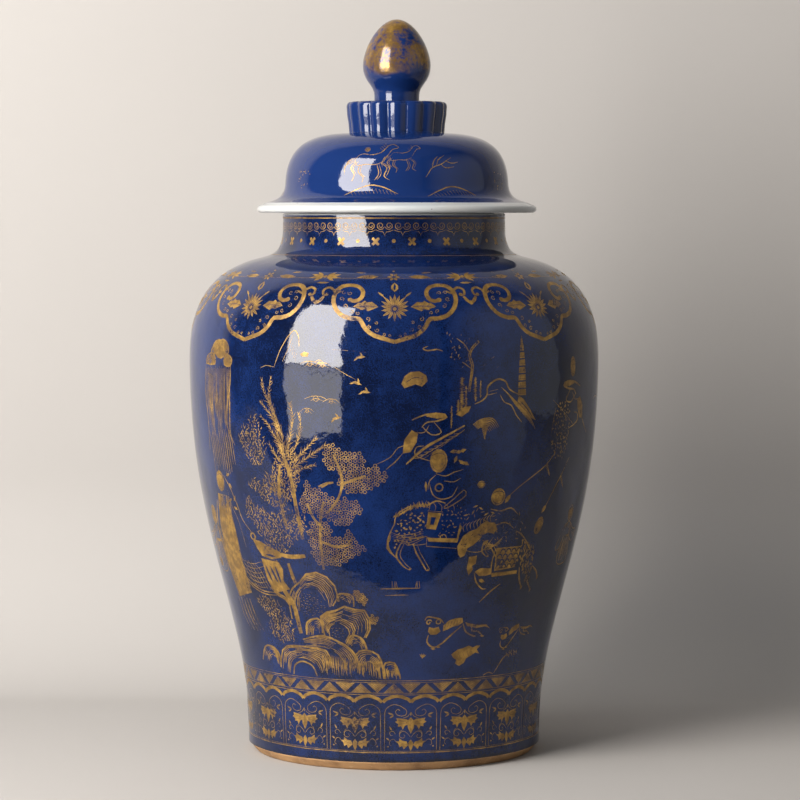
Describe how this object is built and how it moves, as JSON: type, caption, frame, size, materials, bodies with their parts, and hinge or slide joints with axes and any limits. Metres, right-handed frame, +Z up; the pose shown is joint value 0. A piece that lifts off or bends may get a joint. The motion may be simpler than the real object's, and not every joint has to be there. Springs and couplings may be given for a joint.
{
  "type": "lidded jar",
  "caption": "Tall glazed porcelain jar for storage or display, baluster-shaped and hollow, with a domed lift-off lid, fluted collar and bud knop.",
  "frame": {"origin": "on the ground at the jar's axis", "axes": "+Z up along the jar's axis, -Y towards the front that the picture shows"},
  "size_m": [0.348, 0.348, 0.6205],
  "materials": {
    "powder_blue_glaze": "gloss, gilded"
  },
  "bodies": {
    "root": {"jar": "powder_blue_glaze", "lid": "powder_blue_glaze"}
  },
  "joints": []
}
